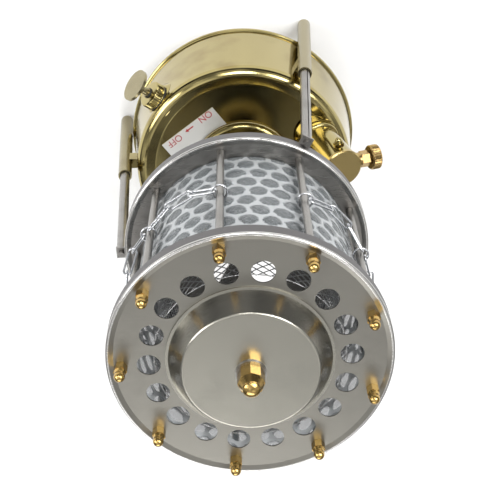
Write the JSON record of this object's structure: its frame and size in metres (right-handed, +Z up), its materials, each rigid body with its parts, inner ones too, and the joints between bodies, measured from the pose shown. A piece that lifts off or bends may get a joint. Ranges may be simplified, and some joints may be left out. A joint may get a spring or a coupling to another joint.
{
  "type": "kerosene pressure stove with radiant heater drum",
  "caption": "Brass kerosene pressure tank on tube legs with pump, valve and filler, under a caged glass radiant drum with a vented top plate.",
  "frame": {"origin": "on the ground under the middle of the tank, level with the flats of the three feet", "axes": "+Z up the stove's axis, +X towards one leg, +Y so that the filler lies on the -Y side towards +X and the pump on the -X side"},
  "size_m": [0.2405, 0.2157, 0.4505],
  "materials": {
    "polished_brass": "polished",
    "dull_brass": "satin",
    "copper_brass": "satin",
    "bright_steel": "polished",
    "brushed_plate": "brushed",
    "dark_steel": "matte",
    "clear_glass": "dimpled",
    "leather": "matte",
    "black_rubber": "matte"
  },
  "bodies": {
    "tank": {"tank_shell": "polished_brass", "tank_base": "polished_brass", "tank_boss": "polished_brass", "leg_sockets": "dull_brass", "socket_brackets": "polished_brass", "leg_tubes": "bright_steel", "leg_pins": "bright_steel", "filler_neck": "polished_brass", "label_plate": "brushed_plate", "pump_barrel": "polished_brass", "pump_flange": "polished_brass", "pump_guide": "dull_brass", "check_valve": "dull_brass", "bleed_screw": "polished_brass", "valve_body": "copper_brass", "valve_gland": "copper_brass", "fuel_pickup": "dull_brass", "burner_riser": "dull_brass", "spirit_cup": "polished_brass", "burner_base": "dull_brass", "vapour_tubes": "dull_brass", "burner_head": "dull_brass", "jet_nipple": "dull_brass"},
    "gasket": {"filler_gasket": "black_rubber"},
    "filler": {"filler_cap": "polished_brass"},
    "seal": {"release_seal": "black_rubber"},
    "release": {"release_screw": "polished_brass"},
    "plunger": {"pump_button": "polished_brass", "pump_rod": "bright_steel", "pump_leather": "leather"},
    "check": {"check_disc": "black_rubber"},
    "needle": {"valve_needle": "bright_steel"},
    "valve": {"valve_spindle": "dull_brass", "valve_knob": "copper_brass"},
    "burner_lid": {"burner_cap": "dark_steel"},
    "drum": {"lower_pan": "brushed_plate", "leg_lugs": "brushed_plate", "cage_rods": "bright_steel", "lower_nuts": "bright_steel", "glass_sleeve": "clear_glass", "mesh_cylinder": "dark_steel", "spider": "brushed_plate", "centre_rod": "bright_steel", "top_pan": "brushed_plate", "heat_cup": "brushed_plate", "cap_nuts": "polished_brass", "centre_washer": "bright_steel", "centre_nut": "polished_brass", "chain_rings": "bright_steel", "guard_chain": "bright_steel"}
  },
  "joints": [
    {"name": "gasket_lift", "type": "slide", "parent": "tank", "child": "gasket", "axis": [0.7012, -0.6425, 0.309], "range_m": [0, 0.006]},
    {"name": "filler_turn", "type": "hinge", "parent": "gasket", "child": "filler", "pos_m": [0.07704, -0.07059, 0.10425], "axis": [0.7012, -0.6425, 0.309], "range_deg": [0, 1440]},
    {"name": "seal_lift", "type": "slide", "parent": "filler", "child": "seal", "axis": [0.7012, -0.6425, 0.309], "range_m": [0, 0.002]},
    {"name": "release_turn", "type": "hinge", "parent": "seal", "child": "release", "pos_m": [0.09022, -0.08267, 0.11005], "axis": [0.7012, -0.6425, 0.309], "range_deg": [0, 720]},
    {"name": "pump_stroke", "type": "slide", "parent": "tank", "child": "plunger", "axis": [-0.3078, 0.106, 0.9455], "range_m": [0, 0.06]},
    {"name": "check_open", "type": "slide", "parent": "tank", "child": "check", "axis": [0.3078, -0.106, -0.9455], "range_m": [0, 0.0015], "stiffness_N_per_m": 40},
    {"name": "needle_lift", "type": "slide", "parent": "tank", "child": "needle", "axis": [-0.9501, 0.0179, -0.3113], "range_m": [0, 0.0015]},
    {"name": "valve_turn", "type": "hinge", "parent": "needle", "child": "valve", "pos_m": [-0.11269, -0.02138, 0.15373], "axis": [-0.9501, 0.0179, -0.3113], "range_deg": [0, 540]},
    {"name": "burner_cap_lift", "type": "slide", "parent": "tank", "child": "burner_lid", "axis": [0, 0, 1], "range_m": [0, 0.012]},
    {"name": "drum_lift", "type": "slide", "parent": "tank", "child": "drum", "axis": [0, 0, 1], "range_m": [0, 0.03]}
  ],
  "couplings": [
    {"joint": "filler_turn", "follows": "gasket_lift", "rad_per_m": 4188.8},
    {"joint": "release_turn", "follows": "seal_lift", "rad_per_m": 6283.2},
    {"joint": "valve_turn", "follows": "needle_lift", "rad_per_m": 6283.2}
  ]
}
